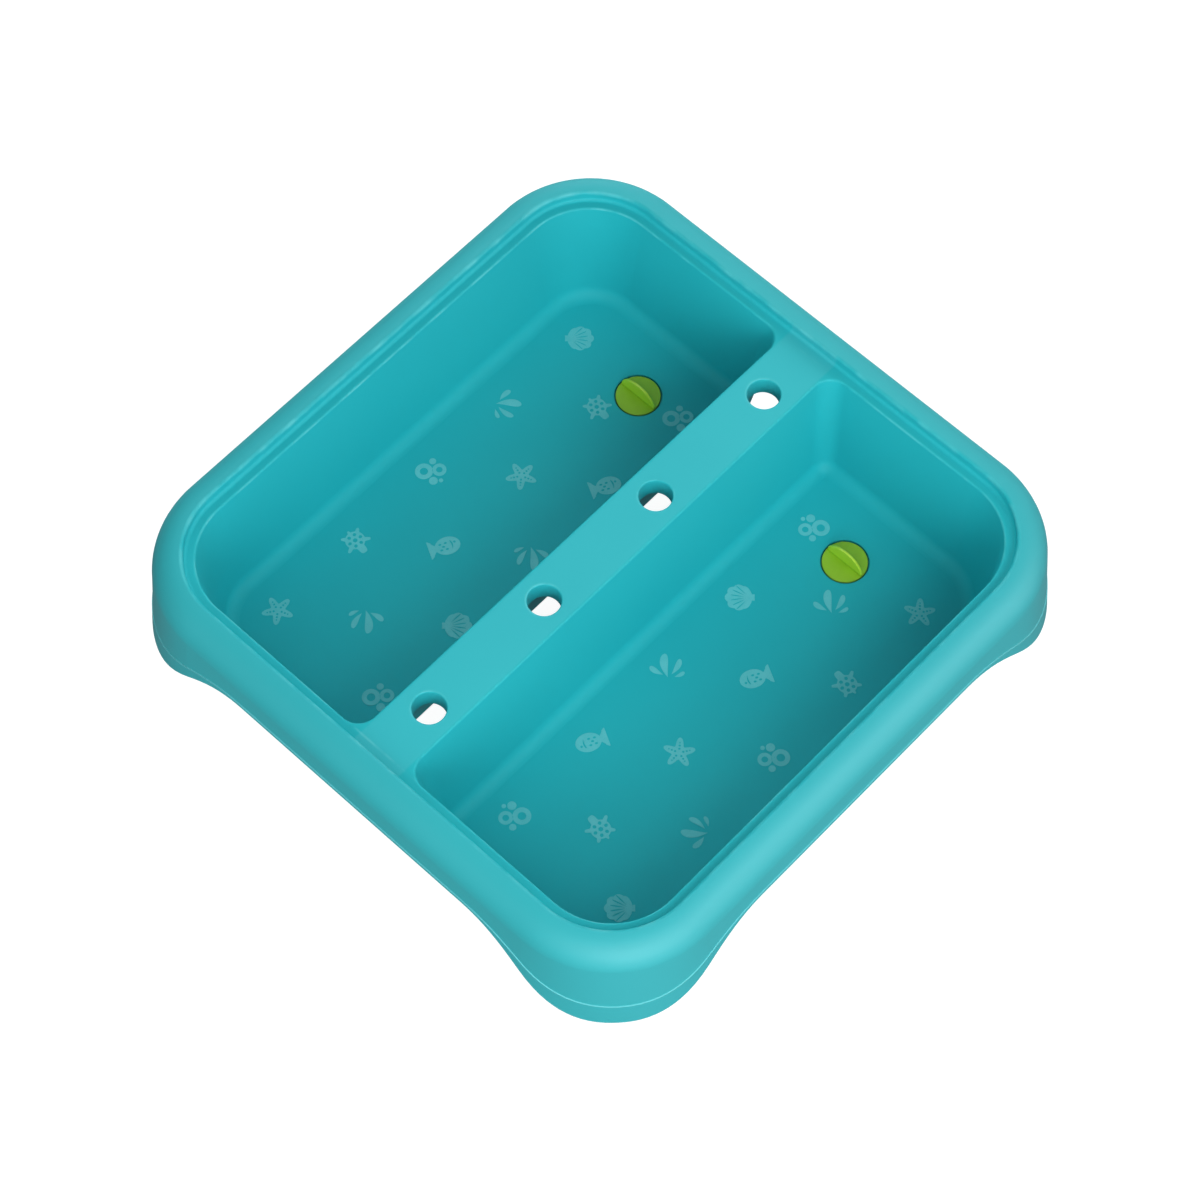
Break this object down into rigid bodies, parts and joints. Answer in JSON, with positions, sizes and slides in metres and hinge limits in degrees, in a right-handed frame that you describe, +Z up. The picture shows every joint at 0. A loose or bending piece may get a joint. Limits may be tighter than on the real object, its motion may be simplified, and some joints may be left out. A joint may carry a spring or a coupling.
{
  "type": "sand and water play tub",
  "caption": "Square play tub with two basins, a hollow divider with sleeved post holes, and twist-and-lift drain stoppers with half-moon grips.",
  "frame": {"origin": "middle of the footprint, on the plane the tub stands on", "axes": "+Z up, X across the two basins, Y along the divider with the drains towards +Y"},
  "size_m": [0.5632, 0.5632, 0.129],
  "materials": {
    "tub_plastic": "satin moulded polypropylene, teal",
    "plug_plastic": "semi-gloss moulded plastic, lime green",
    "seal_rubber": "smooth black rubber"
  },
  "bodies": {
    "tub": {"tub": "tub_plastic"},
    "left_seal": {"left_seal_ring": "seal_rubber"},
    "left_plug": {"left_drain_plug": "plug_plastic"},
    "right_seal": {"right_seal_ring": "seal_rubber"},
    "right_plug": {"right_drain_plug": "plug_plastic"}
  },
  "joints": [
    {"name": "left_plug_lift", "type": "slide", "parent": "tub", "child": "left_seal", "axis": [0, 0, 1], "range_m": [0, 0.13]},
    {"name": "left_plug_turn", "type": "hinge", "parent": "left_seal", "child": "left_plug", "pos_m": [-0.1144, 0.1677, 0.0125], "axis": [0, 0, 1], "continuous": true},
    {"name": "right_plug_lift", "type": "slide", "parent": "tub", "child": "right_seal", "axis": [0, 0, 1], "range_m": [0, 0.13]},
    {"name": "right_plug_turn", "type": "hinge", "parent": "right_seal", "child": "right_plug", "pos_m": [0.1144, 0.1677, 0.0125], "axis": [0, 0, 1], "continuous": true}
  ]
}
